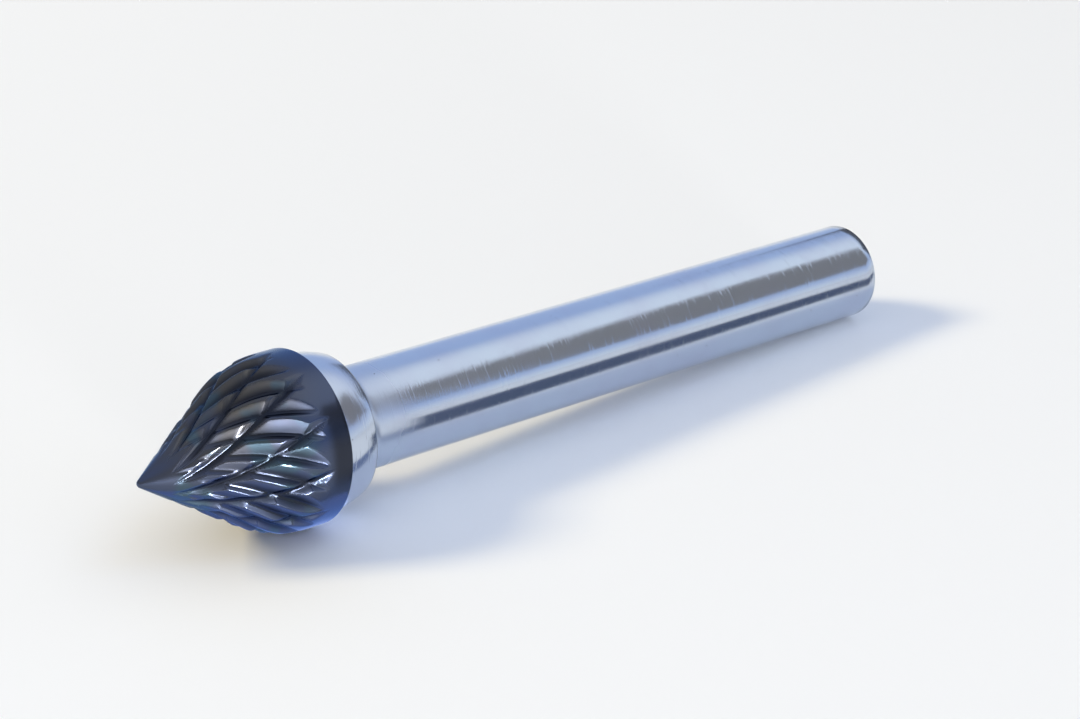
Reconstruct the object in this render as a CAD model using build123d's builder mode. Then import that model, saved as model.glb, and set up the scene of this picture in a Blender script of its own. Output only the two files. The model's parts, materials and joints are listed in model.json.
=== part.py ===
from build123d import *
from math import atan2, cos, degrees, hypot, radians, sin, sqrt, tan
import os

os.makedirs("parts", exist_ok=True)

# Carbide burr: a double-cut cone of tungsten carbide, brazed to a turned steel shank.
#
# The burr lies on its side, as it rests on a bench: the back edge of the head and the end
# of the shank touch Z = 0, the tip points along -X, and the origin is under the middle.
# A "distance" is measured from the tip along the spin axis. An "angle" is measured about
# that axis from the top of the lying burr, growing as a right-hand screw would turn.

# ------------------------------------------------------------ driving sizes (mm, degrees)

# Blank of the head: a cone with a rounded tip and shoulder
head_diameter = 10.0
head_length = 10.5
tip_radius = 0.25
cone_half_angle = 33.0
shoulder_radius = 6.2

# Flutes: right-hand, in groups of one long flute and the short ones after it
flute_groups = 7
flutes_per_group = 3
flute_lead = 72.0
flute_first_angle = 6.2
flute_depth = 0.50
flute_face_angle = 50.0
tooth_land = 0.19
long_flute_start = 1.1
short_flute_start = 2.3
flute_fade_in = 2.0
flute_run_out = 2.2
flute_band = 1.3

# Chip-breaker grooves: left-hand, across the flutes at a steady angle to the cone's sides
breaker_count = 11
breaker_angle = 21.0
breaker_last_angle = 57.0
breaker_depth = 0.42
breaker_width = 0.85
breaker_start = 1.6
breaker_fade_in = 2.0
breaker_run_out = 1.6
breaker_band = 1.15

# Shank, turned in one piece with the collar that carries the head
collar_diameter = 9.2
collar_drop = 0.4
collar_length = 2.3
collar_fillet = 1.3
shank_diameter = 6.0
shank_length = 45.0
shank_end_chamfer = 0.4

# ------------------------------------------------------------ the blank's own shape

head_radius = head_diameter / 2
shank_radius = shank_diameter / 2
collar_radius = collar_diameter / 2
collar_back_radius = collar_radius - collar_drop
overall_length = head_length + shank_length

# The cone leaves the tip sphere, and meets the shoulder arc, where both are tangent to it
cone_slope = tan(radians(cone_half_angle))
cone_start = tip_radius * (1 - sin(radians(cone_half_angle)))
cone_start_radius = tip_radius * cos(radians(cone_half_angle))
shoulder_centre_radius = head_radius - shoulder_radius
cone_end_radius = shoulder_centre_radius + shoulder_radius * cos(radians(cone_half_angle))
cone_end = cone_start + (cone_end_radius - cone_start_radius) / cone_slope
shoulder_end = cone_end + shoulder_radius * sin(radians(cone_half_angle))


def blank_radius(distance):
    """Radius of the uncut head behind its tip sphere."""
    if distance < cone_end:
        return cone_start_radius + (distance - cone_start) * cone_slope
    if distance < shoulder_end:
        return shoulder_centre_radius + sqrt(shoulder_radius**2 - (shoulder_end - distance) ** 2)
    return head_radius


# ------------------------------------------------------------ how the burr lies

# It rests on the back edge of the head and on the chamfer's edge at the end of the shank
shank_edge = overall_length - shank_end_chamfer
end_face_radius = shank_radius - shank_end_chamfer
rest_tilt = atan2(head_radius - shank_radius, shank_edge - head_length)
tip_height = head_length * sin(rest_tilt) + head_radius * cos(rest_tilt)
reach_ahead = tip_radius * (1 - cos(rest_tilt))
reach_behind = overall_length * cos(rest_tilt) + end_face_radius * sin(rest_tilt)
tip_point = (-(reach_behind + reach_ahead) / 2, 0, tip_height)

# The spin plane stands at the tip with Z along the spin axis and X up through the burr.
# The profile plane holds the axis: its X is distance and its Y is radius.
spin_direction = (cos(rest_tilt), 0, -sin(rest_tilt))
up_through = (sin(rest_tilt), 0, cos(rest_tilt))
spin_plane = Plane(origin=tip_point, x_dir=up_through, z_dir=spin_direction)
profile_plane = Plane(origin=tip_point, x_dir=spin_direction, z_dir=(0, -1, 0))
spin_axis = Axis(tip_point, spin_direction)

# ------------------------------------------------------------ grooves of the double cut

groove_stations = 10
wall_overcut = 1.35
clear_of_blank = 1.1


def lift_share(distance, start, fade_in, end, run_out):
    """How far the wheel has left its full depth: 0 at full depth, over 1 where it is out."""
    entering = max(0.0, 1 - (distance - start) / fade_in)
    leaving = max(0.0, 1 - (end - distance) / run_out)
    return clear_of_blank * (entering**2 + leaving**2)


def distances(start, end):
    """Evenly spaced stations along one groove."""
    return [start + (end - start) * step / groove_stations for step in range(groove_stations + 1)]


def groove_cutter(walls, stations):
    """What a grinding wheel sweeps along one groove, for a head with its tip at the origin.

    Walls are the V's two upper corners, measured out and across from its root. A station is
    a distance, the angle and the radius of the root there, and the scale of the V.
    """
    with BuildPart() as cutter:
        for distance, angle, root, scale in stations:
            with BuildSketch(Plane.XY.offset(distance).rotated((0, 0, angle))):
                with BuildLine():
                    corners = [(root + scale * out, scale * across) for out, across in walls]
                    Polyline((root, 0), *corners, close=True)
                make_face()
        loft()
    return cutter.part


# A flute's short steep wall is a tooth's cutting face. Its long wall is the back of the
# tooth behind, and reaches up to that tooth's land. The V shrinks with the cone.
flute_count = flute_groups * flutes_per_group
flute_pitch = 360 / flute_count
flute_root = head_radius - flute_depth
face_turn = flute_depth / tan(radians(flute_face_angle)) / head_radius
back_turn = radians(flute_pitch) - face_turn - tooth_land / head_radius
flute_walls = [
    (wall_overcut * (head_radius * cos(turn) - flute_root), wall_overcut * head_radius * sin(turn))
    for turn in (-back_turn, face_turn)
]
flute_end = head_length - flute_band


def flute_cutter(start, first_angle):
    """One flute, from its start near the tip to where it runs out at the uncut band."""
    stations = []
    for distance in distances(start, flute_end):
        radius = blank_radius(distance)
        scale = radius / head_radius
        lift = lift_share(distance, start, flute_fade_in, flute_end, flute_run_out)
        root = radius - scale * flute_depth * (1 - lift)
        stations.append((distance, first_angle + 360 * distance / flute_lead, root, scale))
    return groove_cutter(flute_walls, stations)


# A chip-breaker keeps its width and its angle to the cone's sides all the way, so its turn
# is added up backwards along the surface, from where it runs out to the tip
breaker_wall = (wall_overcut * breaker_depth, wall_overcut * breaker_width / 2)
breaker_walls = [(breaker_wall[0], -breaker_wall[1]), breaker_wall]
breaker_end = head_length - breaker_band


def breaker_cutter():
    """One chip-breaker groove."""
    stations = []
    angle = breaker_last_angle
    behind = breaker_end
    for distance in reversed(distances(breaker_start, breaker_end)):
        radius = blank_radius(distance)
        slant = hypot(behind - distance, blank_radius(behind) - radius)
        middle_radius = (blank_radius(behind) + radius) / 2
        angle += degrees(tan(radians(breaker_angle)) * slant / middle_radius)
        behind = distance
        lift = lift_share(distance, breaker_start, breaker_fade_in, breaker_end, breaker_run_out)
        stations.append((distance, angle, radius - breaker_depth * (1 - lift), 1))
    return groove_cutter(breaker_walls, stations)


# ------------------------------------------------------------ carbide head

tip_arc_middle = radians(90 - cone_half_angle) / 2

with BuildPart(spin_plane) as carbide_head:
    with BuildSketch(profile_plane):
        with BuildLine():
            ThreePointArc(
                (0, 0),
                (tip_radius * (1 - cos(tip_arc_middle)), tip_radius * sin(tip_arc_middle)),
                (cone_start, cone_start_radius),
            )
            Line((cone_start, cone_start_radius), (cone_end, cone_end_radius))
            RadiusArc((cone_end, cone_end_radius), (shoulder_end, head_radius), shoulder_radius)
            Line((shoulder_end, head_radius), (head_length, head_radius))
            Line((head_length, head_radius), (head_length, 0))
            Line((head_length, 0), (0, 0))
        make_face()
    revolve(axis=spin_axis)
    for place in range(flutes_per_group):
        start = long_flute_start if place == 0 else short_flute_start
        flute = flute_cutter(start, flute_first_angle + place * flute_pitch)
        with PolarLocations(0, flute_groups):
            add(flute, mode=Mode.SUBTRACT)
    breaker = breaker_cutter()
    with PolarLocations(0, breaker_count):
        add(breaker, mode=Mode.SUBTRACT)

# ------------------------------------------------------------ steel shank

# The collar's outside is a shallow crown, level where it meets the head. A hollow fillet
# runs from the collar's back down to the shank, and is no taller than that step.
collar_end = head_length + collar_length
collar_crown = (collar_length**2 + collar_drop**2) / (2 * collar_drop)
fillet_top_radius = min(collar_back_radius, shank_radius + collar_fillet)
fillet_shortfall = shank_radius + collar_fillet - fillet_top_radius
fillet_end = collar_end + sqrt(collar_fillet**2 - fillet_shortfall**2)

with BuildPart() as steel_shank:
    with BuildSketch(profile_plane):
        with BuildLine():
            Line((head_length, 0), (head_length, collar_radius))
            RadiusArc((head_length, collar_radius), (collar_end, collar_back_radius), collar_crown)
            if collar_back_radius > fillet_top_radius:
                Line((collar_end, collar_back_radius), (collar_end, fillet_top_radius))
            RadiusArc((collar_end, fillet_top_radius), (fillet_end, shank_radius), -collar_fillet)
            Line((fillet_end, shank_radius), (shank_edge, shank_radius))
            Line((shank_edge, shank_radius), (overall_length, end_face_radius))
            Line((overall_length, end_face_radius), (overall_length, 0))
            Line((overall_length, 0), (head_length, 0))
        make_face()
    revolve(axis=spin_axis)

carbide_head.part.label = "carbide_head"
steel_shank.part.label = "steel_shank"
export_step(carbide_head.part, "parts/carbide_head.step")
export_step(steel_shank.part, "parts/steel_shank.step")
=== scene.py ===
# %% [markdown]
# # A carbide burr, dressed in Blender
#
# A burr is a small cutter for a die grinder. It is two pieces: a head of tungsten carbide,
# ground with crossed helical grooves, and the steel shank with a collar that carries it.
# Brazing joins them, so nothing moves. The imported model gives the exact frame, and this
# lesson puts a finer skin on each piece and a small studio round them.

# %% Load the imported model
import json
from math import atan2, cos, pi, radians, sin, sqrt, tan

import bpy
import numpy as np
from mathutils import Matrix, Vector


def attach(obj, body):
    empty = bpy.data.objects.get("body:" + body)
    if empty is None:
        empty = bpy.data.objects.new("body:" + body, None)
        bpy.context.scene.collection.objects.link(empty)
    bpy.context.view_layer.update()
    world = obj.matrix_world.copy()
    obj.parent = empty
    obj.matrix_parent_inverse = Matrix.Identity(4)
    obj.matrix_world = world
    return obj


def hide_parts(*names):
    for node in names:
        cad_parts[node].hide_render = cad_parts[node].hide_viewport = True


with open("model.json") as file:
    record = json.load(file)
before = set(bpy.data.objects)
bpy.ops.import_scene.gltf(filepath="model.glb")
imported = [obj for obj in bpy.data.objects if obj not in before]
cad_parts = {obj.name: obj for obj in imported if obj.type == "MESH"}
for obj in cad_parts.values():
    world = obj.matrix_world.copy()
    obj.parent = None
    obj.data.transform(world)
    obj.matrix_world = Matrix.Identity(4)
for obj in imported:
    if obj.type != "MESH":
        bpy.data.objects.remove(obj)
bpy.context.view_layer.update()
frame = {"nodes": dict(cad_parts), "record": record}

MM = 0.001


print("nodes:", sorted(frame["nodes"]))

# %% [markdown]
# ## Where the burr lies
#
# Both pieces are round bodies about one spin axis. Every point of them has a distance from
# the tip along that axis, a radius, and an angle about it, measured from the top of the
# lying burr. The burr rests on the back edge of its head and on the end of its shank, so
# the axis dips a little towards the shank. Working in these three numbers keeps each shape
# a short formula, and one function turns them into metres in the shared frame.

# %% Sizes of the two pieces, in mm
HEAD_RADIUS = 5.0
HEAD_LENGTH = 10.5
COLLAR_RADIUS = 4.6
COLLAR_DROP = 0.4
COLLAR_LENGTH = 2.3
COLLAR_FILLET = 1.3
SHANK_RADIUS = 3.0
SHANK_LENGTH = 45.0
END_CHAMFER = 0.4

overall_length = HEAD_LENGTH + SHANK_LENGTH
shank_edge = overall_length - END_CHAMFER
rest_tilt = atan2(HEAD_RADIUS - SHANK_RADIUS, shank_edge - HEAD_LENGTH)
print("length of the burr (mm):", overall_length, "tilt (degrees):", round(np.degrees(rest_tilt), 3))

# %% The spin axis, and the tip found from the record's shank mount
along = np.array([cos(rest_tilt), 0.0, -sin(rest_tilt)])
upward = np.array([sin(rest_tilt), 0.0, cos(rest_tilt)])
sideways = np.cross(along, upward)

shank_mount = frame["record"]["mounts"][0]
mount_point = np.array(shank_mount["pos_m"]) / MM
tip_height = HEAD_LENGTH * sin(rest_tilt) + HEAD_RADIUS * cos(rest_tilt)
tip = mount_point - along * (mount_point[2] - tip_height) / along[2]
print("spin axis:", np.round(along, 6), "the record says", shank_mount["axis"])
print("tip of the burr (mm):", np.round(tip, 4))


# %% From distance, radius and angle to metres
def place(distance, radius, angle):
    """Points in metres: the tip, plus distance along the axis, plus radius turned by angle."""
    distance, radius, angle = np.broadcast_arrays(distance, radius, np.radians(angle))
    outward = np.cos(angle)[..., None] * upward + np.sin(angle)[..., None] * sideways
    return (tip + distance[..., None] * along + radius[..., None] * outward) * MM


print("end of the shank (mm):", np.round(place(overall_length, 0.0, 0.0) / MM, 4))

# %% [markdown]
# ## Camera
#
# The camera stands in front of the tip, some 15 cm away and a little above, looking down
# the burr. It is level, its lens is a short telephoto, and it has no shift, so it can be
# walked round the burr for the other views. Its own right, up and backward directions are
# the three columns of its rotation.

# %% Make the camera
IMAGE_WIDTH, IMAGE_HEIGHT = 1080, 719
FOCAL_PIXELS = 2671.9
SENSOR_WIDTH = 36.0
CAMERA_POINT = (-96.804, -107.498, 66.898)
CAMERA_RIGHT = (0.74060, -0.67195, 0.0)
CAMERA_UP = (0.26586, 0.29303, 0.91840)
NEAREST, FURTHEST = 0.005, 10.0

camera_data = bpy.data.cameras.new("camera")
camera_data.sensor_fit = "HORIZONTAL"
camera_data.sensor_width = SENSOR_WIDTH
camera_data.lens = FOCAL_PIXELS / IMAGE_WIDTH * SENSOR_WIDTH
camera_data.clip_start, camera_data.clip_end = NEAREST, FURTHEST

right, up = Vector(CAMERA_RIGHT), Vector(CAMERA_UP)
rotation = Matrix((right, up, right.cross(up))).transposed().to_4x4()
camera = bpy.data.objects.new("camera", camera_data)
camera.matrix_world = Matrix.Translation(Vector(CAMERA_POINT) * MM) @ rotation
bpy.context.scene.collection.objects.link(camera)
bpy.context.scene.camera = camera
print("lens (mm):", round(camera_data.lens, 2), "for an image of", IMAGE_WIDTH, "x", IMAGE_HEIGHT)

# %% [markdown]
# ## Skins made of rings
#
# Head and shank are both closed skins: a pole on the axis, rings of points round it, and a
# pole on the axis again. A cylinder primitive would bring no grooves and no fillets, so one
# function takes the whole grid of rings at once and joins each ring to the next with quads.
# The piece's own map holds millimetres, so that marks on the metal can be given real sizes.


# %% Faces of a closed skin
def ring_faces(count, places):
    """Corners and sizes of the faces that join count rings of points, with a fan at each pole.

    Point number of ring i, place j is i * places + j, and j wraps round. The two poles come
    after all rings. Quads turn so that the way round crossed with the way along points
    outwards, and start at their next place, because a quad is split from its first corner:
    that puts the split along the left-hand grooves.
    """
    i, j = np.meshgrid(np.arange(count - 1), np.arange(places), indexing="ij")
    k = (j + 1) % places
    quads = np.stack([i * places + k, (i + 1) * places + k, (i + 1) * places + j, i * places + j], -1)

    j = np.arange(places)
    k = (j + 1) % places
    first_pole, last_pole = count * places, count * places + 1
    last_ring = (count - 1) * places
    first_fan = np.stack([np.full(places, first_pole), k, j], -1)
    last_fan = np.stack([np.full(places, last_pole), last_ring + j, last_ring + k], -1)
    corners = np.concatenate([quads.ravel(), first_fan.ravel(), last_fan.ravel()])
    return corners, np.repeat([4, 3], [(count - 1) * places, 2 * places])


corners, sizes = ring_faces(2, 3)
print("two rings of three points make", len(sizes), "faces with", len(corners), "corners")


# %% Map of a closed skin
def ring_map(around, lengthwise):
    """U and V at each corner of the faces: U is around, and V is lengthwise, one for each ring.

    U runs on past the last place by the mean step, so that the last quads don't run back to
    the first place. A fan's pole takes the middle of its two places.
    """
    count, places = len(lengthwise), len(around)
    across = np.append(around, around[0] + (around[-1] - around[0]) * places / (places - 1))
    i, j = np.meshgrid(np.arange(count - 1), np.arange(places), indexing="ij")
    u = np.stack([across[j + 1], across[j + 1], across[j], across[j]], -1)
    v = np.stack([lengthwise[i], lengthwise[i + 1], lengthwise[i + 1], lengthwise[i]], -1)

    here, beyond = across[:-1], across[1:]
    middle = (here + beyond) / 2
    first_fan = np.stack([middle, beyond, here], -1)
    last_fan = np.stack([middle, here, beyond], -1)
    all_u = np.concatenate([u.ravel(), first_fan.ravel(), last_fan.ravel()])
    all_v = np.append(v.ravel(), np.repeat([lengthwise[0], lengthwise[-1]], 3 * places))
    return np.stack([all_u, all_v], -1)


print("their map has", len(ring_map(np.arange(3.0), np.arange(2.0))), "corners too")


# %% A closed skin from a grid of rings
def ring_skin(name, rings, first_pole, last_pole, around, lengthwise, values):
    """Object whose mesh is rings joined by quads, closed by a fan of triangles at each pole.

    Values holds point attributes: for each name a grid, and its number at either pole.
    """
    points = np.concatenate([rings.reshape(-1, 3), [first_pole, last_pole]])
    corners, sizes = ring_faces(*rings.shape[:2])

    mesh = bpy.data.meshes.new(name)
    mesh.vertices.add(len(points))
    mesh.vertices.foreach_set("co", points.astype(np.float32).ravel())
    mesh.loops.add(len(corners))
    mesh.loops.foreach_set("vertex_index", corners.astype(np.int32))
    mesh.polygons.add(len(sizes))
    mesh.polygons.foreach_set("loop_start", (np.cumsum(sizes) - sizes).astype(np.int32))
    mesh.polygons.foreach_set("use_smooth", np.ones(len(sizes), bool))
    mesh.update(calc_edges=True)

    flat = ring_map(around, lengthwise).astype(np.float32)
    mesh.uv_layers.new(name="millimetres").data.foreach_set("uv", flat.ravel())
    for key, (grid, at_first, at_last) in values.items():
        numbers = np.append(grid.ravel(), [at_first, at_last]).astype(np.float32)
        mesh.attributes.new(key, "FLOAT", "POINT").data.foreach_set("value", numbers)

    skin = bpy.data.objects.new(name, mesh)
    bpy.context.scene.collection.objects.link(skin)
    print(name, "has", len(points), "points and", int((sizes - 2).sum()), "triangles")
    return skin


# %% [markdown]
# ## The head's blank
#
# Before it is cut, the head is a cone with a rounded tip and a rounded shoulder, which runs
# into a short straight band. The rings are spaced evenly along its side, not along its
# axis, so that no part of the slope gets stretched faces, and they stand further apart on
# the bare nose and band, where no tooth needs them. The back edge is broken a little, as a
# grinder would leave it.

# %% Radius of the blank
TIP_RADIUS = 0.25
CONE_HALF_ANGLE = radians(33.0)
SHOULDER_RADIUS = 6.2

cone_start = TIP_RADIUS * (1 - sin(CONE_HALF_ANGLE))
cone_start_radius = TIP_RADIUS * cos(CONE_HALF_ANGLE)
shoulder_centre = HEAD_RADIUS - SHOULDER_RADIUS
cone_end_radius = shoulder_centre + SHOULDER_RADIUS * cos(CONE_HALF_ANGLE)
cone_end = cone_start + (cone_end_radius - cone_start_radius) / tan(CONE_HALF_ANGLE)
shoulder_end = cone_end + SHOULDER_RADIUS * sin(CONE_HALF_ANGLE)


def blank_radius(distance):
    """Tip sphere, then a cone at a steady slope, then the shoulder's arc, then the band."""
    distance = np.asarray(distance, float)
    nose = np.sqrt(np.maximum(TIP_RADIUS**2 - (TIP_RADIUS - distance) ** 2, 0))
    cone = cone_start_radius + (distance - cone_start) * tan(CONE_HALF_ANGLE)
    before_end = np.minimum(shoulder_end - distance, SHOULDER_RADIUS)
    arc = shoulder_centre + np.sqrt(np.maximum(SHOULDER_RADIUS**2 - before_end**2, 0))
    return np.select(
        [distance < cone_start, distance < cone_end, distance < shoulder_end],
        [nose, cone, arc],
        HEAD_RADIUS,
    )


print("cone ends at (mm):", round(cone_end, 3), "shoulder ends at (mm):", round(shoulder_end, 3))

# %% Places of the head's rings
HEAD_RINGS = 205
BACK_EDGE_BREAK = 0.10
NOSE_SAMPLES, SIDE_SAMPLES = 200, 4000
CLOSENESS_PLACES = [0.7, 1.2, 9.3, 9.5]
CLOSENESS = [0.5, 1.0, 1.0, 0.35]

nose_turn = np.linspace(0.0, pi / 2 - CONE_HALF_ANGLE, NOSE_SAMPLES)
fine = np.concatenate([
    TIP_RADIUS * (1 - np.cos(nose_turn)),
    np.linspace(cone_start, HEAD_LENGTH - BACK_EDGE_BREAK, SIDE_SAMPLES)[1:],
])
side = np.append(0.0, np.cumsum(np.hypot(np.diff(fine), np.diff(blank_radius(fine)))))
closeness = np.interp(fine, CLOSENESS_PLACES, CLOSENESS)
crowding = np.append(0.0, np.cumsum(np.diff(side) * closeness[1:]))
ring_side = np.interp(np.linspace(0.0, crowding[-1], HEAD_RINGS + 1)[1:], crowding, side)
ring_distance = np.interp(ring_side, side, fine)
print("side of the blank (mm):", round(side[-1], 3))
print("closest rings (mm):", round(float(np.diff(ring_side).min()), 4))

# %% [markdown]
# ## The double cut
#
# A thin wheel grinds 21 right-hand flutes, in groups of one that starts near the tip and
# two that start further back. Each leaves a tooth with a steep cutting face and a long
# back. Then 11 left-hand chip-breaker grooves cross them, so that the teeth throw chips
# and not ribbons. Every groove is a V in the plane square to the axis, and lifts out of
# the metal at both ends. Each wall of a V is a straight line, which is a simple fraction
# of cosines once it is written as a radius against the angle from the groove's root. So
# the cut head is one height, a radius for each distance and angle: the least of the blank
# and of all the grooves. Where two surfaces meet, the least is taken softly, which rounds
# the tooth edges and the roots as a real wheel does. A displacement map could not give
# teeth as sharp as these, and cutting with 32 solids would give long thin faces.


# %% Soft least
def soft_least(a, b, width):
    """The smaller of two heights, less width * h * h / 4, where h fades out as they part by width."""
    h = np.maximum(width - np.abs(a - b), 0.0) / width
    return np.minimum(a, b) - h * h * width / 4


print("1 and 1 with a width of 0.4 give", soft_least(1.0, 1.0, 0.4))

# %% Shape of one V
CLEAR_RADIUS = 9.0
LEAST_SHARE = 0.02


def wall_radius(root, out, across, turn):
    """Radius at an angle turn from the root, on the line from the root that goes out and across.

    It is root * across / (across * cos(turn) - out * sin(turn)). At an angle where nothing
    meets the line, the divisor is kept a small share of across, which gives a large radius.
    """
    below = np.sign(across) * (across * np.cos(turn) - out * np.sin(turn))
    return root * abs(across) / np.maximum(below, LEAST_SHARE * abs(across))


def vee_radius(root, walls, turn, softness):
    """A groove with two straight walls: the greater of their radii, with a rounded root.

    Both are kept to a radius that is well clear of the head.
    """
    first, second = (wall_radius(root, out, across, turn) for out, across in walls)
    return -soft_least(-np.minimum(first, CLEAR_RADIUS), -np.minimum(second, CLEAR_RADIUS), softness)


def turn_from(angle, root_angle):
    """Signed turn in radians from a groove's root, between minus and plus half a circle."""
    return np.radians((angle - root_angle + 180.0) % 360.0 - 180.0)


print("from 350 to 10 degrees is", round(np.degrees(turn_from(10.0, 350.0)), 3), "degrees")

# %% How a wheel leaves the metal
CLEAR_OF_BLANK = 1.1


def lift_share(distance, start, fade_in, end, run_out):
    """How far the wheel has left its full depth: the squares of both ends' fades, times 1.1.

    It is 0 at full depth, and where it passes 1 the groove is clear of the blank.
    """
    entering = np.maximum(0.0, 1 - (distance - start) / fade_in)
    leaving = np.maximum(0.0, 1 - (end - distance) / run_out)
    return CLEAR_OF_BLANK * (entering**2 + leaving**2)


print("lift at the start:", lift_share(0.0, 0.0, 1.0, 5.0, 1.0))
print("lift halfway in:", lift_share(0.5, 0.0, 1.0, 5.0, 1.0))

# %% [markdown]
# ## Flutes
#
# A flute's short steep wall is a tooth's cutting face. Its long wall is the back of the
# tooth behind it, and reaches up to that tooth's narrow land. Both follow from the depth,
# the face's angle, the land and the pitch. The V shrinks with the cone, so all teeth are
# alike from the band to the nose.

# %% Sizes of a flute, and its two walls
FLUTE_GROUPS, FLUTES_PER_GROUP = 7, 3
FLUTE_LEAD = 72.0
FLUTE_FIRST_ANGLE = 6.2
FLUTE_DEPTH = 0.50
FLUTE_FACE_ANGLE = 50.0
FLUTE_BAND = 1.3
FLUTE_FADE_IN, FLUTE_RUN_OUT = 2.0, 2.2
LONG_FLUTE_START, SHORT_FLUTE_START = 1.1, 2.3
TOOTH_LAND = 0.19

flute_count = FLUTE_GROUPS * FLUTES_PER_GROUP
flute_pitch = 360.0 / flute_count
flute_end = HEAD_LENGTH - FLUTE_BAND
land_turn = TOOTH_LAND / HEAD_RADIUS
face_turn = FLUTE_DEPTH / tan(radians(FLUTE_FACE_ANGLE)) / HEAD_RADIUS
back_turn = radians(flute_pitch) - face_turn - land_turn


def wall_at(turn):
    """Out and across from the root to the corner of a V, at an angle turn on the head's radius."""
    return (HEAD_RADIUS * cos(turn) - (HEAD_RADIUS - FLUTE_DEPTH), HEAD_RADIUS * sin(turn))


flute_walls = [wall_at(-back_turn), wall_at(face_turn)]
print("flutes:", flute_count, "pitch on the band (mm):", round(radians(flute_pitch) * HEAD_RADIUS, 3))

# %% [markdown]
# ## A grid that follows the teeth
#
# Square faces laid straight along the axis would cut across every tooth and leave a saw
# edge on it. So each column of the grid turns with the flutes, and keeps its place on its
# tooth from the nose to the band. A pitch has 22 columns. They stand close together at the
# root, at the cutting edge and at the heel of the land, and further apart on the long back.

# %% Columns of the head's grid, and its distances and angles
FACE_COLUMNS = np.array([0.0, 0.10, 0.25, 0.43, 0.62, 0.79, 0.92])
LAND_COLUMNS = np.array([0.0, 0.2, 0.45, 0.7, 0.9])
BACK_COLUMNS = np.array([0.0, 0.04, 0.12, 0.24, 0.38, 0.52, 0.66, 0.78, 0.88, 0.95])

face_share = face_turn / radians(flute_pitch)
heel_share = face_share + land_turn / radians(flute_pitch)
column_shares = np.concatenate([
    face_share * FACE_COLUMNS,
    face_share + (heel_share - face_share) * LAND_COLUMNS,
    heel_share + (1 - heel_share) * BACK_COLUMNS,
])
tooth_number = np.arange(flute_count)[:, None]
column_angle = FLUTE_FIRST_ANGLE + flute_pitch * (tooth_number + column_shares).ravel()
distance_grid = np.broadcast_to(ring_distance[:, None], (HEAD_RINGS, len(column_angle)))
angle_grid = column_angle + 360.0 * distance_grid / FLUTE_LEAD
blank_grid = blank_radius(distance_grid)
print("grid of the head, rings by columns:", distance_grid.shape)

# %% [markdown]
# ## Grinding
#
# The grooves are cut one after another, each a little deeper or shallower and a little out
# of its place, because a hand-set wheel never repeats itself exactly. Beside the softened
# head, the same grooves are cut with sharp roots. The difference of the two says where an
# edge or a root is rounded, and the material polishes the metal there.

# %% Grind the flutes
EDGE_SOFTNESS = 0.055
ROOT_SOFTNESS = 0.34
SHARP = 1e-6
FLUTE_DEPTH_SPREAD = -0.05, 0.03
FLUTE_PLACE_SPREAD = -0.35, 0.35

rng = np.random.default_rng(11)
scale_grid = blank_grid / HEAD_RADIUS
toothed = np.full(blank_grid.shape, CLEAR_RADIUS)
sharp_grid = blank_grid.copy()
for number in range(flute_count):
    start = LONG_FLUTE_START if number % FLUTES_PER_GROUP == 0 else SHORT_FLUTE_START
    depth = FLUTE_DEPTH * (1 + rng.uniform(*FLUTE_DEPTH_SPREAD))
    root_angle = FLUTE_FIRST_ANGLE + number * flute_pitch + rng.uniform(*FLUTE_PLACE_SPREAD)
    lift = lift_share(distance_grid, start, FLUTE_FADE_IN, flute_end, FLUTE_RUN_OUT)
    root = blank_grid - scale_grid * depth * (1 - lift)
    turn = turn_from(angle_grid, root_angle + 360.0 * distance_grid / FLUTE_LEAD)
    toothed = soft_least(toothed, vee_radius(root, flute_walls, turn, ROOT_SOFTNESS), EDGE_SOFTNESS)
    sharp_grid = np.minimum(sharp_grid, vee_radius(root, flute_walls, turn, SHARP))
head_grid = soft_least(blank_grid, toothed, EDGE_SOFTNESS)
print("deepest flute (mm):", round(float((blank_grid - head_grid).max()), 3))

# %% [markdown]
# ## Chip-breakers
#
# A chip-breaker keeps its width and its angle to the cone's sides all the way. So its path
# is a spiral that turns faster towards the tip: in a short step it turns by the step along
# the side, times the tangent of its angle, divided by the radius there. Adding those turns
# up gives its angle at every distance. Its two edges aren't alike: the one that comes
# before the root, counted by angle, is rounder, as a wheel worn on one side leaves it.

# %% Path and walls of a chip-breaker
BREAKER_COUNT = 11
BREAKER_ANGLE = radians(21.0)
BREAKER_LAST_ANGLE = 57.0
BREAKER_DEPTH, BREAKER_WIDTH = 0.42, 0.85
BREAKER_START, BREAKER_BAND = 1.6, 1.15
BREAKER_FADE_IN, BREAKER_RUN_OUT = 2.0, 1.6
PATH_LEAD_IN = 0.6
PATH_SAMPLES = 800

breaker_end = HEAD_LENGTH - BREAKER_BAND
breaker_walls = [(BREAKER_DEPTH, -BREAKER_WIDTH / 2), (BREAKER_DEPTH, BREAKER_WIDTH / 2)]
path = np.linspace(BREAKER_START - PATH_LEAD_IN, HEAD_LENGTH, PATH_SAMPLES)
path_radius = blank_radius(path)
path_step = np.hypot(np.diff(path), np.diff(path_radius))
middle_radius = (path_radius[1:] + path_radius[:-1]) / 2
path_angle = -np.append(0.0, np.cumsum(np.degrees(tan(BREAKER_ANGLE) * path_step / middle_radius)))
path_angle += BREAKER_LAST_ANGLE - np.interp(breaker_end, path, path_angle)
breaker_angle_grid = np.interp(distance_grid, path, path_angle)
print("a chip-breaker turns by (degrees):", round(float(path_angle[0] - path_angle[-1]), 1))

# %% Grind the chip-breakers
BEFORE_SOFTNESS, AFTER_SOFTNESS = 0.24, 0.14
BREAKER_DEPTH_SPREAD = -0.08, 0.04
BREAKER_PLACE_SPREAD = -0.5, 0.5

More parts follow.
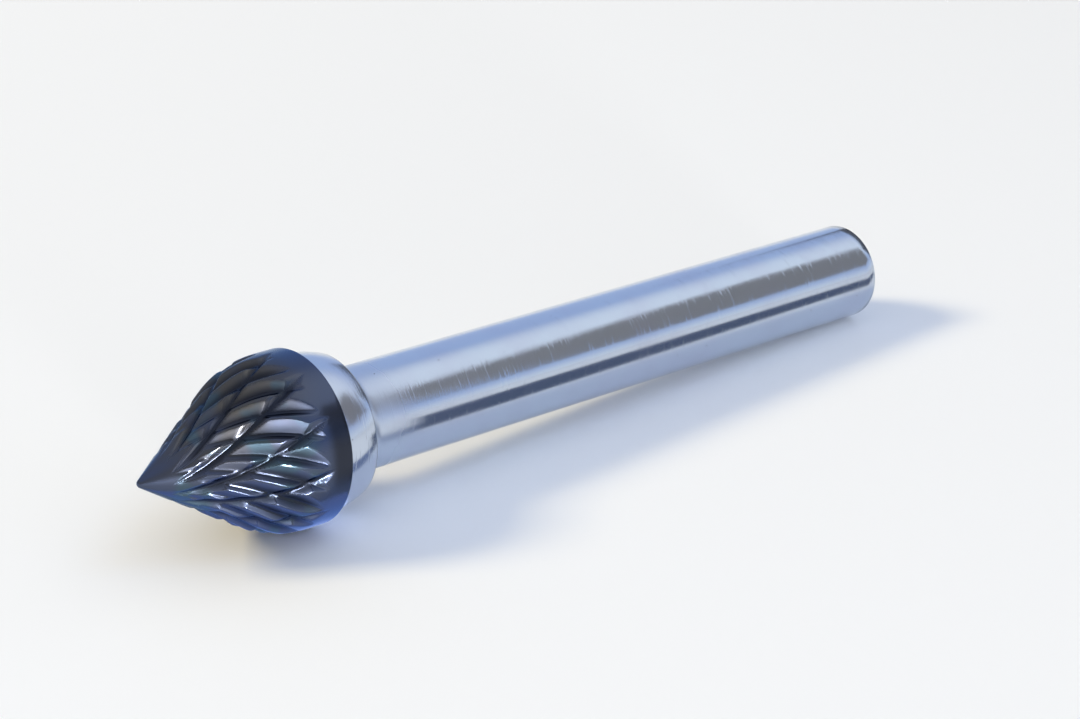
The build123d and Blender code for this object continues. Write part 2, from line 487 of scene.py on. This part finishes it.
for number in range(BREAKER_COUNT):
    depth = BREAKER_DEPTH * (1 + rng.uniform(*BREAKER_DEPTH_SPREAD))
    first_turn = number * 360.0 / BREAKER_COUNT
    root_angle = breaker_angle_grid + first_turn + rng.uniform(*BREAKER_PLACE_SPREAD)
    lift = lift_share(distance_grid, BREAKER_START, BREAKER_FADE_IN, breaker_end, BREAKER_RUN_OUT)
    root = blank_grid - depth * (1 - lift)
    turn = turn_from(angle_grid, root_angle)
    sharp_grid = np.minimum(sharp_grid, vee_radius(root, breaker_walls, turn, SHARP))
    softness = np.where(turn < 0, BEFORE_SOFTNESS, AFTER_SOFTNESS)
    groove = vee_radius(root, breaker_walls, turn, ROOT_SOFTNESS)
    head_grid = soft_least(head_grid, groove, softness)
print("least radius of a cut ring (mm):", round(float(head_grid.min()), 3))

# %% [markdown]
# ## Closing the head
#
# Behind the cut rings come a few more round the broken back edge, and two on the flat back
# face, most of which the collar hides. They keep the columns of the grid, so the skin stays
# one piece with no seam. Each point also carries what the material will need: how deep it
# is cut, how much it is rounded, and its distance from the tip.

# %% Close the head and put it in place
EDGE_RINGS = 5
EDGE_MAP_STEP = 0.03
BACK_FACE_RADII = np.array([3.4, 1.7])
FULL_ROUNDING = 0.03

edge_turn = np.linspace(0.0, pi / 2, EDGE_RINGS + 1)[1:]
edge_distance = HEAD_LENGTH - BACK_EDGE_BREAK * (1 - np.sin(edge_turn))
edge_radius = HEAD_RADIUS - BACK_EDGE_BREAK * (1 - np.cos(edge_turn))
back_distance = np.append(edge_distance, np.full(len(BACK_FACE_RADII), HEAD_LENGTH))
back_radius = np.append(edge_radius, BACK_FACE_RADII)
back_map = np.append(EDGE_MAP_STEP * np.arange(1, EDGE_RINGS + 1), HEAD_RADIUS - BACK_FACE_RADII)


def with_back(grid, back):
    """The grid of cut rings, and under it one ring for each number of the back."""
    return np.concatenate([grid, np.broadcast_to(back[:, None], (len(back), grid.shape[1]))])


from_tip = with_back(distance_grid, back_distance)
uncut = np.zeros(len(back_radius))
rounding = np.clip(np.abs(head_grid - sharp_grid) / FULL_ROUNDING, 0.0, 1.0)
head = ring_skin(
    "burr_head",
    place(from_tip, with_back(head_grid, back_radius), column_angle + 360.0 * from_tip / FLUTE_LEAD),
    first_pole=place(0.0, 0.0, 0.0),
    last_pole=place(HEAD_LENGTH, 0.0, 0.0),
    around=np.radians(column_angle) * HEAD_RADIUS,
    lengthwise=np.append(ring_side, ring_side[-1] + back_map),
    values={
        "cut_depth": (with_back(blank_grid - head_grid, uncut), 0.0, 0.0),
        "rounding": (with_back(rounding, uncut), 0.0, 0.0),
        "from_tip": (from_tip, 0.0, HEAD_LENGTH),
    },
)
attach(head, "root")
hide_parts("carbide_head")

# %% [markdown]
# ## The steel shank
#
# The shank is turned and then ground round, in one piece with its collar. The collar's
# outside is a shallow crown, a hollow fillet leads from it down to the shank, and the far
# end has a small chamfer. One profile of distance and radius, carried round the axis, is
# the whole shape. The profile's arcs are given many points, so that the bands of light
# that run along the steel stay clean.

# %% Arcs of the collar's crown and of the fillet behind it
CROWN_POINTS, FILLET_POINTS = 24, 30
FRONT_EDGE_BREAK = 0.02
BACK_EDGE_ROUND = 0.06

collar_end = HEAD_LENGTH + COLLAR_LENGTH
crown_radius = (COLLAR_LENGTH**2 + COLLAR_DROP**2) / (2 * COLLAR_DROP)
fillet_top = min(COLLAR_RADIUS - COLLAR_DROP, SHANK_RADIUS + COLLAR_FILLET)
fillet_short = SHANK_RADIUS + COLLAR_FILLET - fillet_top
fillet_end = collar_end + sqrt(COLLAR_FILLET**2 - fillet_short**2)

crown_distance = np.linspace(HEAD_LENGTH + FRONT_EDGE_BREAK, collar_end - BACK_EDGE_ROUND, CROWN_POINTS)
crown_drop = crown_radius - np.sqrt(crown_radius**2 - (crown_distance - HEAD_LENGTH) ** 2)
first_fillet_turn = np.arcsin((fillet_end - collar_end) / COLLAR_FILLET)
fillet_turn = np.linspace(first_fillet_turn, 0.0, FILLET_POINTS)
fillet_distance = fillet_end - COLLAR_FILLET * np.sin(fillet_turn)
fillet = SHANK_RADIUS + COLLAR_FILLET - COLLAR_FILLET * np.cos(fillet_turn)
print("crown radius (mm):", round(crown_radius, 3), "fillet ends at (mm):", round(fillet_end, 3))

# %% Profile of front face, collar, fillet, shank, chamfer and end face
SHANK_POINTS = 60
EDGE_ALONG, EDGE_IN = 0.03, 0.02
FRONT_FACE_RADII = 1.5, 3.0
END_FACE_RADII = 1.8, 0.9

shank_distance = np.linspace(fillet_end, shank_edge, SHANK_POINTS)[1:]
end_face = SHANK_RADIUS - END_CHAMFER
profile = np.array([
    *((HEAD_LENGTH, radius) for radius in FRONT_FACE_RADII),
    (HEAD_LENGTH, COLLAR_RADIUS - FRONT_EDGE_BREAK),
    *zip(crown_distance, COLLAR_RADIUS - crown_drop),
    *zip(fillet_distance, fillet),
    *((distance, SHANK_RADIUS) for distance in shank_distance),
    (shank_edge + EDGE_ALONG, SHANK_RADIUS - EDGE_IN),
    (overall_length - EDGE_ALONG, end_face + EDGE_IN),
    (overall_length, end_face - EDGE_ALONG),
    *((overall_length, radius) for radius in END_FACE_RADII),
])
print("profile of the shank:", len(profile), "points")

# %% Carry the profile round the axis
SHANK_PLACES = 288
SEAM_ANGLE = 180.0

shank_angle = np.arange(SHANK_PLACES) * 360.0 / SHANK_PLACES + SEAM_ANGLE
shank_side = np.append(0.0, np.cumsum(np.hypot(*np.diff(profile, axis=0).T)))
from_tip = np.broadcast_to(profile[:, :1], (len(profile), SHANK_PLACES))
shank = ring_skin(
    "burr_shank",
    place(profile[:, :1], profile[:, 1:], shank_angle),
    first_pole=place(HEAD_LENGTH, 0.0, 0.0),
    last_pole=place(overall_length, 0.0, 0.0),
    around=np.radians(shank_angle) * SHANK_RADIUS,
    lengthwise=shank_side,
    values={"from_tip": (from_tip, HEAD_LENGTH, overall_length)},
)
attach(shank, "root")
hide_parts("steel_shank")

# %% [markdown]
# ## Helpers for materials
#
# A material is a tree of nodes, and building one by hand takes three lines a node. These
# helpers each make one node, set or link its inputs, and give back what comes out of it, so
# that a material reads from top to bottom as a recipe.


# %% Nodes with their inputs
def add_node(tree, kind, inputs=(), **settings):
    """A node with its settings, and with each named or numbered input set or linked."""
    node = tree.nodes.new(kind)
    for key, value in settings.items():
        setattr(node, key, value)
    for key, value in dict(inputs).items():
        if isinstance(value, bpy.types.NodeSocket):
            tree.links.new(value, node.inputs[key])
        else:
            node.inputs[key].default_value = value
    return node


def math_node(tree, operation, *values):
    """The result of a Math node on one, two or three values."""
    return add_node(tree, "ShaderNodeMath", enumerate(values), operation=operation).outputs[0]


def vector_node(tree, operation, first, second, output="Vector"):
    """The result of a Vector Math node on two vectors."""
    node = add_node(tree, "ShaderNodeVectorMath", {0: first, 1: second}, operation=operation)
    return node.outputs[output]


def mix_colour(tree, share, first, second):
    """First colour turning into the second as share goes from 0 to 1."""
    node = add_node(tree, "ShaderNodeMix", {0: share, 6: first, 7: second}, data_type="RGBA")
    return node.outputs[2]


def ramp(tree, value, low, high, to_low=0.0, to_high=1.0):
    """Value going smoothly from to_low to to_high as it passes from low to high."""
    node = add_node(
        tree, "ShaderNodeMapRange",
        {"Value": value, "From Min": low, "From Max": high, "To Min": to_low, "To Max": to_high},
        interpolation_type="SMOOTHSTEP",
    )
    return node.outputs["Result"]


print("helpers made: any node, Math, Vector Math, a mix of colours, a ramp")


# %% Inputs of a pattern, and an empty material
def object_place(tree):
    """The point's place on the piece, in metres."""
    return add_node(tree, "ShaderNodeTexCoord").outputs["Object"]


def carried(tree, name):
    """A number that the skin's points carry."""
    return add_node(tree, "ShaderNodeAttribute", attribute_name=name).outputs["Fac"]


def noise(tree, vector, scale, detail, **inputs):
    """Cloudy noise between 0 and 1, scale clouds to the unit."""
    values = {"Vector": vector, "Scale": scale, "Detail": detail, **inputs}
    return add_node(tree, "ShaderNodeTexNoise", values).outputs["Fac"]


def new_material(name):
    """An empty node material, its tree, and its Principled shader."""
    material = bpy.data.materials.new(name)
    material.use_nodes = True
    tree = material.node_tree
    tree.nodes.clear()
    shader = tree.nodes.new("ShaderNodeBsdfPrincipled")
    output = tree.nodes.new("ShaderNodeOutputMaterial")
    tree.links.new(shader.outputs[0], output.inputs["Surface"])
    return material, tree, shader


def group_node(tree, group, **values):
    """The node group placed in a tree with its own values."""
    node = tree.nodes.new("ShaderNodeGroup")
    node.node_tree = group
    for key, value in values.items():
        node.inputs[key.replace("_", " ")].default_value = value
    return node


print("helpers made: place, carried number, noise, new material, group in a material")

# %% [markdown]
# ## Marks that the grinding wheel leaves round a piece
#
# Cylindrical grinding leaves very fine scratches round the steel and round the head's
# band. They break the edges of the bands of light into short streaks. Both materials use
# them, so they are one node group. It turns the pattern until its X runs along the spin
# axis, then squeezes noise so that it changes fast along the axis and slowly round it. A
# second, wider noise picks the few deep marks.

# %% The node group of ring marks
PER_METRE = (1000.0, 1000.0, 1000.0)
DEEP_SQUEEZE = (0.53, 0.53, 0.53)

ring_marks = bpy.data.node_groups.new("ring marks", "ShaderNodeTree")
for label, usual in (("Spacing in mm", 0.1), ("Length in mm", 2.0)):
    socket = ring_marks.interface.new_socket(label, in_out="INPUT", socket_type="NodeSocketFloat")
    socket.default_value = usual
for label in ("Height", "Deep Marks"):
    ring_marks.interface.new_socket(label, in_out="OUTPUT", socket_type="NodeSocketFloat")
marks_in = ring_marks.nodes.new("NodeGroupInput")
marks_out = ring_marks.nodes.new("NodeGroupOutput")

turned = add_node(
    ring_marks, "ShaderNodeMapping",
    {"Vector": object_place(ring_marks), "Rotation": (0.0, -rest_tilt, 0.0), "Scale": PER_METRE},
).outputs[0]
along_share = math_node(ring_marks, "DIVIDE", 1.0, marks_in.outputs["Spacing in mm"])
round_share = math_node(ring_marks, "DIVIDE", 1.0, marks_in.outputs["Length in mm"])
squeeze = add_node(ring_marks, "ShaderNodeCombineXYZ", {0: along_share, 1: round_share, 2: round_share})
squeezed = vector_node(ring_marks, "MULTIPLY", turned, squeeze.outputs[0])
shifted = vector_node(ring_marks, "MULTIPLY", squeezed, DEEP_SQUEEZE)
fine_noise = noise(ring_marks, squeezed, scale=1.0, detail=3.0, Roughness=0.6)
deep_noise = noise(ring_marks, shifted, scale=1.0, detail=1.0)
ring_marks.links.new(fine_noise, marks_out.inputs["Height"])
ring_marks.links.new(ramp(ring_marks, deep_noise, 0.60, 0.74), marks_out.inputs["Deep Marks"])
print("node group:", ring_marks.name, "with", len(ring_marks.nodes), "nodes")

# %% [markdown]
# ## Specks
#
# Tiny dark pits and spots are scattered over the shank. A Voronoi texture splits space into
# cells with one point each. Every cell has a random colour, and one in five of them is
# picked by it and gets a round dot, larger the higher its number. Noise would give blotches
# that run into one another, and not single specks.

# %% The node group of specks
PICKED_FROM = 0.80
LARGEST_SPECK = 0.07

specks = bpy.data.node_groups.new("specks", "ShaderNodeTree")
specks.interface.new_socket("Per mm", in_out="INPUT", socket_type="NodeSocketFloat").default_value = 2.0
specks.interface.new_socket("Mask", in_out="OUTPUT", socket_type="NodeSocketFloat")
specks_in = specks.nodes.new("NodeGroupInput")
specks_out = specks.nodes.new("NodeGroupOutput")

in_mm = add_node(specks, "ShaderNodeMapping", {"Vector": object_place(specks), "Scale": PER_METRE})
cells = add_node(
    specks, "ShaderNodeTexVoronoi",
    {"Vector": in_mm.outputs[0], "Scale": specks_in.outputs["Per mm"], "Randomness": 1.0},
)
pick = add_node(specks, "ShaderNodeSeparateColor", {0: cells.outputs["Color"]}).outputs[0]
speck_size = ramp(specks, pick, PICKED_FROM, 1.0, 0.0, LARGEST_SPECK)
inside = math_node(specks, "LESS_THAN", cells.outputs["Distance"], speck_size)
specks.links.new(inside, specks_out.inputs["Mask"])
print("node group:", specks.name, "with", len(specks.nodes), "nodes")

# %% [markdown]
# ## Ground carbide
#
# Tungsten carbide is a dark grey metal with a bluish cast. A warm brown tint lies high on
# this head, and cool patches lie at random along the teeth. A dark spot on the band is a
# painted dark reflection, and the roots of the grooves are painted darker as shade. Two
# round spots and cloudy noises place the tints, and the depth that the points carry
# paints the shade in the roots. It is all metal, so this is the colour of its
# reflections. The specular tint is their cooler, brighter colour where the surface is
# seen at a low angle, as along a tooth's edge.

# %% Start the head's material
CARBIDE_EDGE = (0.60, 0.74, 1.0, 1.0)

carbide, tree, shader = new_material("ground carbide")
shader.inputs["Metallic"].default_value = 1.0
shader.inputs["Specular Tint"].default_value = CARBIDE_EDGE
depth_value = carried(tree, "cut_depth")
tip_value = carried(tree, "from_tip")
rounding_value = carried(tree, "rounding")
map_value = add_node(tree, "ShaderNodeUVMap", uv_map="millimetres").outputs[0]
place_value = object_place(tree)
clouds = noise(tree, place_value, scale=330.0, detail=2.0)
print("material started:", carbide.name)

# %% Colours of the head, and the places where they change
CARBIDE = (0.080, 0.098, 0.155, 1.0)
CARBIDE_WARM = (0.105, 0.100, 0.095, 1.0)
CARBIDE_COOL = (0.075, 0.115, 0.150, 1.0)
# The next colour is painted shade for the roots of the grooves.
CARBIDE_PAINTED_SHADE = (0.022, 0.026, 0.038, 1.0)
# The next colour is a painted dark reflection, in a round spot on the band.
CARBIDE_PAINTED_REFLECTION = (0.040, 0.045, 0.062, 1.0)
WARM_SPOT_MIDDLE = (-0.0222, 0.0008, 0.0086)
PAINTED_REFLECTION_MIDDLE = (-0.0177, -0.0049, 0.0060)
WARM_SPOT_FADE = 0.0062, 0.0022
PAINTED_REFLECTION_FADE = 0.0029, 0.0012
PAINTED_REFLECTION_FROM_TIP = 8.8, 9.6
COOL_FROM_TIP = 9.0, 7.6
PAINTED_SHADE_DEPTHS = 0.06, 0.36
PAINTED_ROOT_SHADE = 0.88
print("middle of the warm stain (mm):", [round(value / MM, 1) for value in WARM_SPOT_MIDDLE])


# %% Mix the head's colour
def round_spot(tree, point, middle, outside, inside):
    """1 within the radius inside of the middle, fading to 0 at the radius outside, in metres."""
    return ramp(tree, vector_node(tree, "DISTANCE", point, middle, "Value"), outside, inside)


# A warm brown tint in a round spot high on the head, broken up by cloudy noise.
cloudy = ramp(tree, clouds, 0.25, 0.5, 0.35, 1.0)
spot = round_spot(tree, place_value, WARM_SPOT_MIDDLE, *WARM_SPOT_FADE)
tint = mix_colour(tree, math_node(tree, "MULTIPLY", spot, cloudy), CARBIDE, CARBIDE_WARM)

# Painted dark reflection: a round darker spot on the band, towards its front.
on_band = ramp(tree, tip_value, *PAINTED_REFLECTION_FROM_TIP)
painted_reflection_spot = round_spot(tree, place_value, PAINTED_REFLECTION_MIDDLE, *PAINTED_REFLECTION_FADE)
tint = mix_colour(tree, math_node(tree, "MULTIPLY", painted_reflection_spot, on_band), tint, CARBIDE_PAINTED_REFLECTION)

cool_clouds = ramp(tree, noise(tree, place_value, scale=560.0, detail=1.0), 0.52, 0.66)
cool_share = math_node(tree, "MULTIPLY", cool_clouds, ramp(tree, tip_value, *COOL_FROM_TIP))
tint = mix_colour(tree, cool_share, tint, CARBIDE_COOL)

# Painted shade: the deeper a point is cut, the darker it is painted, so the roots look shaded.
painted_root_shade_share = ramp(tree, depth_value, *PAINTED_SHADE_DEPTHS, 0.0, PAINTED_ROOT_SHADE)
tint = mix_colour(tree, painted_root_shade_share, tint, CARBIDE_PAINTED_SHADE)
tree.links.new(tint, shader.inputs["Base Color"])
print("colour of the head:", len(tree.nodes), "nodes so far")

# %% [markdown]
# ## Gloss and wheel lines on the carbide
#
# Grinding leaves the walls of the grooves satin. The tooth edges, the rounded roots and
# all uncut metal are shinier. So the roughness is a cloudy middle value, less a share of
# polish, which is full where the points say that they are rounded or hardly cut. On the
# band the marks run round the head. On the walls of the grooves they run along the head,
# so there they are noise drawn out lengthwise in the map.

# %% Roughness of the head
FLAT_ROUGHNESS = 0.50, 0.57
POLISH = 0.34

flats = ramp(tree, clouds, 0.3, 0.7, *FLAT_ROUGHNESS)
on_edges = ramp(tree, rounding_value, 0.1, 0.9)
uncut_metal = ramp(tree, depth_value, 0.03, 0.0)
polish = math_node(tree, "MAXIMUM", on_edges, uncut_metal)
head_roughness = math_node(tree, "SUBTRACT", flats, math_node(tree, "MULTIPLY", polish, POLISH))
tree.links.new(head_roughness, shader.inputs["Roughness"])
print("gloss of the head:", len(tree.nodes), "nodes so far")

# %% Wheel lines of the head
WHEEL_LINES = (26.0, 0.9, 1.0)
HEAD_MARK_STRENGTH = 0.07
MARK_DEPTH = 0.000012
BAND_FROM_TIP = 8.6, 9.5

marks = group_node(tree, ring_marks, Spacing_in_mm=0.06, Length_in_mm=3.0)
drawn_out = add_node(tree, "ShaderNodeMapping", {"Vector": map_value, "Scale": WHEEL_LINES})
wheel_lines = noise(tree, drawn_out.outputs[0], scale=1.0, detail=2.0)
height = add_node(
    tree, "ShaderNodeMix",
    {0: ramp(tree, tip_value, *BAND_FROM_TIP), 2: wheel_lines, 3: marks.outputs["Height"]},
    data_type="FLOAT",
).outputs[0]
bump = add_node(
    tree, "ShaderNodeBump", {"Height": height, "Strength": HEAD_MARK_STRENGTH, "Distance": MARK_DEPTH}
)
tree.links.new(bump.outputs[0], shader.inputs["Normal"])
head.data.materials.append(carbide)
print("material:", carbide.name, "with", len(tree.nodes), "nodes")

# %% [markdown]
# ## Ground steel
#
# The shank is bright tool steel with a cool cast, a little cloudy. The wheel leaves ring
# marks on it, a few of them deep, and there are some tiny dark specks. Just behind the
# collar the wheel can't reach, so there the steel is duller, and a darker ring in the
# corner is a painted dark reflection.

# %% Colour of the shank
STEEL = (0.56, 0.63, 0.74, 1.0)
STEEL_DULL = (0.52, 0.55, 0.68, 1.0)
STEEL_SPECK = (0.08, 0.08, 0.10, 1.0)
# The next colour is a painted dark reflection in the corner behind the collar.
STEEL_PAINTED_REFLECTION = (0.20, 0.21, 0.26, 1.0)

steel, tree, shader = new_material("ground steel")
shader.inputs["Metallic"].default_value = 1.0
tip_value = carried(tree, "from_tip")
clouds = noise(tree, object_place(tree), scale=260.0, detail=3.0)

tint = mix_colour(tree, ramp(tree, clouds, 0.35, 0.7, 0.0, 0.45), STEEL, STEEL_DULL)
dots = group_node(tree, specks, Per_mm=1.6).outputs["Mask"]
tint = mix_colour(tree, dots, tint, STEEL_SPECK)

# Painted dark reflection: a darker ring in the fillet's corner, just behind the collar.
painted_ring_start = ramp(tree, tip_value, collar_end - 0.12, collar_end + 0.02)
painted_ring_end = ramp(tree, tip_value, collar_end + 0.7, collar_end + 0.2)
painted_ring_share = math_node(tree, "MULTIPLY", painted_ring_start, painted_ring_end)
painted_ring_share = math_node(tree, "MULTIPLY", painted_ring_share, ramp(tree, clouds, 0.3, 0.6, 0.25, 0.75))
tint = mix_colour(tree, painted_ring_share, tint, STEEL_PAINTED_REFLECTION)
tree.links.new(tint, shader.inputs["Base Color"])
print("colour of the shank:", len(tree.nodes), "nodes so far")

# %% Roughness and ring marks of the shank
STEEL_ROUGHNESS = 0.13, 0.19
DULLING = 0.16
DEEP_MARK_SHARE = 0.8
STEEL_MARK_STRENGTH = 0.36

near_collar = ramp(tree, tip_value, fillet_end + 3.5, fillet_end + 0.3)
behind_collar = math_node(tree, "GREATER_THAN", tip_value, collar_end)
dull_share = math_node(tree, "MULTIPLY", near_collar, behind_collar)
cloudy = ramp(tree, clouds, 0.35, 0.7, *STEEL_ROUGHNESS)
steel_roughness = math_node(tree, "ADD", cloudy, math_node(tree, "MULTIPLY", dull_share, DULLING))
tree.links.new(steel_roughness, shader.inputs["Roughness"])

marks = group_node(tree, ring_marks, Spacing_in_mm=0.07, Length_in_mm=1.0)
deep_marks = math_node(tree, "MULTIPLY", marks.outputs["Deep Marks"], DEEP_MARK_SHARE)
height = math_node(tree, "SUBTRACT", marks.outputs["Height"], deep_marks)
bump = add_node(
    tree, "ShaderNodeBump", {"Height": height, "Strength": STEEL_MARK_STRENGTH, "Distance": MARK_DEPTH}
)
tree.links.new(bump.outputs[0], shader.inputs["Normal"])
shank.data.materials.append(steel)
print("material:", steel.name, "with", len(tree.nodes), "nodes")

# %% [markdown]
# ## Floor
#
# The burr lies on a plain pale floor, wide enough to reach the horizon. It has no shine,
# so it shows only the burr's soft shadow. The Standard view keeps colours as written.


# %% Lay the floor
def matt_material(name, colour):
    """A material with no shine at all, and its shader, for what stands round the burr."""
    material, tree, shader = new_material(name)
    shader.inputs["Base Color"].default_value = colour
    shader.inputs["Roughness"].default_value = 1.0
    shader.inputs["Specular IOR Level"].default_value = 0.0
    return material, shader


FLOOR_COLOUR = (0.92, 0.93, 0.94, 1.0)
FLOOR_SIZE = 6.0

bpy.context.scene.view_settings.view_transform = "Standard"
bpy.ops.mesh.primitive_plane_add(size=FLOOR_SIZE)
floor = bpy.context.object
floor.name = "floor"
floor.data.materials.append(matt_material("pale floor", FLOOR_COLOUR)[0])
print("floor (m):", FLOOR_SIZE, "x", FLOOR_SIZE)

# %% [markdown]
# ## Room
#
# Bright metal shows what stands round it more than it shows itself, so the studio is built
# first for what the steel should mirror. The room is the world's colour by direction: grey
# on the side of the tip, pale blue on the side of the shank's end, greyer overhead, pale
# towards the horizon, and with one wide soft glow, as of a window, high up on the shank's
# side. A picture of a real room could do this too, but soft ramps keep the bands of light
# on the steel clean.

# %% Colours of the room by direction
ROOM_RIGHT = (0.48, 0.60, 0.86, 1.0)
ROOM_LEFT = (0.55, 0.53, 0.50, 1.0)
ROOM_TOP = (0.52, 0.58, 0.72, 1.0)
ROOM_WINDOW = (0.95, 1.0, 1.06, 1.0)
ROOM_HORIZON = (0.86, 0.90, 0.96, 1.0)
WINDOW_AZIMUTH, WINDOW_ELEVATION = 112, 48


def direction_of(azimuth, elevation):
    """Direction from the burr: azimuth from +Y towards +X, elevation above the floor."""
    a, e = radians(azimuth), radians(elevation)
    return Vector((sin(a) * cos(e), cos(a) * cos(e), sin(e)))


world = bpy.data.worlds.new("room")
bpy.context.scene.world = world
world.use_nodes = True
tree = world.node_tree
tree.nodes.clear()
direction = add_node(tree, "ShaderNodeTexCoord").outputs["Generated"]
parts = add_node(tree, "ShaderNodeSeparateXYZ", {0: direction})
sideward, skyward = parts.outputs["X"], parts.outputs["Z"]
window = direction_of(WINDOW_AZIMUTH, WINDOW_ELEVATION)
window_nearness = vector_node(tree, "DOT_PRODUCT", direction, window, "Value")
room_colour = mix_colour(tree, ramp(tree, sideward, -0.5, 0.4), ROOM_LEFT, ROOM_RIGHT)
room_colour = mix_colour(tree, ramp(tree, skyward, 0.60, 0.95), room_colour, ROOM_TOP)
room_colour = mix_colour(tree, ramp(tree, window_nearness, 0.76, 1.0), room_colour, ROOM_WINDOW)
room_colour = mix_colour(tree, ramp(tree, skyward, 0.24, 0.0), room_colour, ROOM_HORIZON)
background = add_node(tree, "ShaderNodeBackground", {"Color": room_colour, "Strength": 1.0})
add_node(tree, "ShaderNodeOutputWorld", {"Surface": background.outputs[0]})
print("room:", len(tree.nodes), "nodes")

# %% [markdown]
# ## Lamps
#
# Three area lamps face the burr. The floor lamp is warm, and lights the pale floor until
# the room's blue on it is evened out. The weak blue fill keeps the floor from turning
# yellow and cools the shadow. The metal mirrors neither of them, because they would draw
# bands of their own on it. The glint lamp is small and low in front, and is there for the
# rounded tooth edges.

# %% Three area lamps
FLOOR_LAMP_COLOUR = (1.0, 0.84, 0.50)
BLUE_FILL_COLOUR = (0.25, 0.50, 1.0)
GLINT_LAMP_COLOUR = (1.0, 1.0, 1.0)


def soft_box(name, toward, distance, width, height, radiance, colour):
    """An area lamp of a given radiance that faces the burr: its power is radiance * area * pi."""
    data = bpy.data.lights.new(name, "AREA")
    data.shape = "RECTANGLE"
    data.size, data.size_y = width, height
    data.energy = radiance * width * height * pi
    data.color = colour
    lamp = bpy.data.objects.new(name, data)
    lamp.location = toward * distance
    lamp.rotation_mode = "QUATERNION"
    lamp.rotation_quaternion = toward.to_track_quat("Z", "Y")
    bpy.context.scene.collection.objects.link(lamp)
    print(name, "gives", round(data.energy, 2), "W")
    return lamp


floor_lamp = soft_box(
    "floor lamp", direction_of(310, 38),
    distance=2.0, width=0.50, height=0.50, radiance=31.0, colour=FLOOR_LAMP_COLOUR,
)
floor_lamp.visible_glossy = False
blue_fill = soft_box(
    "blue fill", direction_of(150, 60),
    distance=2.0, width=0.80, height=0.80, radiance=1.6, colour=BLUE_FILL_COLOUR,
)
blue_fill.visible_glossy = False
soft_box(
    "glint lamp", direction_of(199, 2.8),
    distance=0.3, width=0.045, height=0.028, radiance=150.0, colour=GLINT_LAMP_COLOUR,
)

# %% [markdown]
# ## Cards
#
# A dark line along bright steel is the mirror image of something dark that stands beside
# it. The grey panel draws the broad grey band along the shank, and the dark card the thin
# dark lines on the collar's back edge and round the edge at the shank's end. The camera
# doesn't see them.

# %% Two cards beside the shank
GREY_PANEL_COLOUR = (0.24, 0.24, 0.26, 1.0)
DARK_CARD_COLOUR = (0.10, 0.11, 0.14, 1.0)


def card(name, toward, distance, width, height, colour):
    """A flat matt card that faces the burr, its place in its mesh."""
    bpy.ops.mesh.primitive_plane_add(size=1.0)
    panel = bpy.context.object
    panel.name = name
    turn = toward.to_track_quat("Z", "Y").to_matrix().to_4x4()
    size = Matrix.Diagonal((width, height, 1, 1))
    panel.data.transform(Matrix.Translation(toward * distance) @ turn @ size)
    panel.visible_camera = False
    panel.data.materials.append(matt_material(name, colour)[0])
    print(name, "is", width, "m by", height, "m")


card(
    "grey panel", direction_of(125, 28),
    distance=0.35, width=0.20, height=0.18, colour=GREY_PANEL_COLOUR,
)
card(
    "dark card", direction_of(76, 14),
    distance=0.35, width=0.26, height=0.14, colour=DARK_CARD_COLOUR,
)

# %% [markdown]
# ## Patches that only the metal sees
#
# The lower half of the burr mirrors the floor close by, and a real card there would throw
# a shadow and show. So these patches glow in the colour that the metal should mirror, and
# only mirror rays see them. A dark and a grey one stand beside the shank and
# the collar, along the burr, and draw their low dark bands. A blue one lies under the head
# and lights its lower rim. A bright strip on the floor in front gives the teeth that face
# down their glints.


# %% A glowing patch
def patch(name, corners, colour, strength=1.0):
    """A flat glowing patch, its corners in mm, that neither the camera nor the floor sees."""
    mesh = bpy.data.meshes.new(name)
    points = [[MM * value for value in corner] for corner in corners]
    mesh.from_pydata(points, [], [range(len(points))])
    piece = bpy.data.objects.new(name, mesh)
    bpy.context.scene.collection.objects.link(piece)
    for ray in ("camera", "diffuse", "shadow"):
        setattr(piece, "visible_" + ray, False)
    material, shader = matt_material(name, (0.0, 0.0, 0.0, 1.0))
    shader.inputs["Emission Color"].default_value = (*colour, 1.0)
    shader.inputs["Emission Strength"].default_value = strength
    mesh.materials.append(material)
    print(name, "has", len(corners), "corners")


# %% Low cards and the blue patch
CARD_PLACE = -8.0
DARK_CARD = [(-7.5, 0.3), (-7.5, 4.2), (45.0, 1.8), (45.0, 0.05), (0.0, 0.05)]
GREY_CARD = [(-14.0, 0.05), (-14.0, 2.4), (-7.5, 2.4), (-7.5, 0.05)]
BLUE_PATCH = [(-28, 0.5), (-28, -6), (-15.3, -6), (-15.3, 0.5)]
OFF_THE_FLOOR = 0.3
LOW_DARK_GLOW = (0.105, 0.13, 0.20)
LOW_GREY_GLOW = (0.18, 0.23, 0.38)
BLUE_GLOW = (0.52, 0.63, 1.0)

patch("low dark card", [(x, CARD_PLACE, z) for x, z in DARK_CARD], LOW_DARK_GLOW)
patch("low grey card", [(x, CARD_PLACE, z) for x, z in GREY_CARD], LOW_GREY_GLOW)
patch("blue patch", [(x, y, OFF_THE_FLOOR) for x, y in BLUE_PATCH], BLUE_GLOW, strength=1.35)

# %% The glint strip: a piece of a ring on the floor, about a point under the head
GLINT_CENTRE = -21
GLINT_NEAR, GLINT_FAR = 20, 55
GLINT_GLOW = (1.0, 1.0, 1.0)

first, last = direction_of(194, 0), direction_of(205, 0)
reaches = [first * GLINT_FAR, last * GLINT_FAR, last * GLINT_NEAR, first * GLINT_NEAR]
glint_corners = [(reach.x + GLINT_CENTRE, reach.y, OFF_THE_FLOOR) for reach in reaches]
patch("glint strip", glint_corners, GLINT_GLOW, strength=40.0)
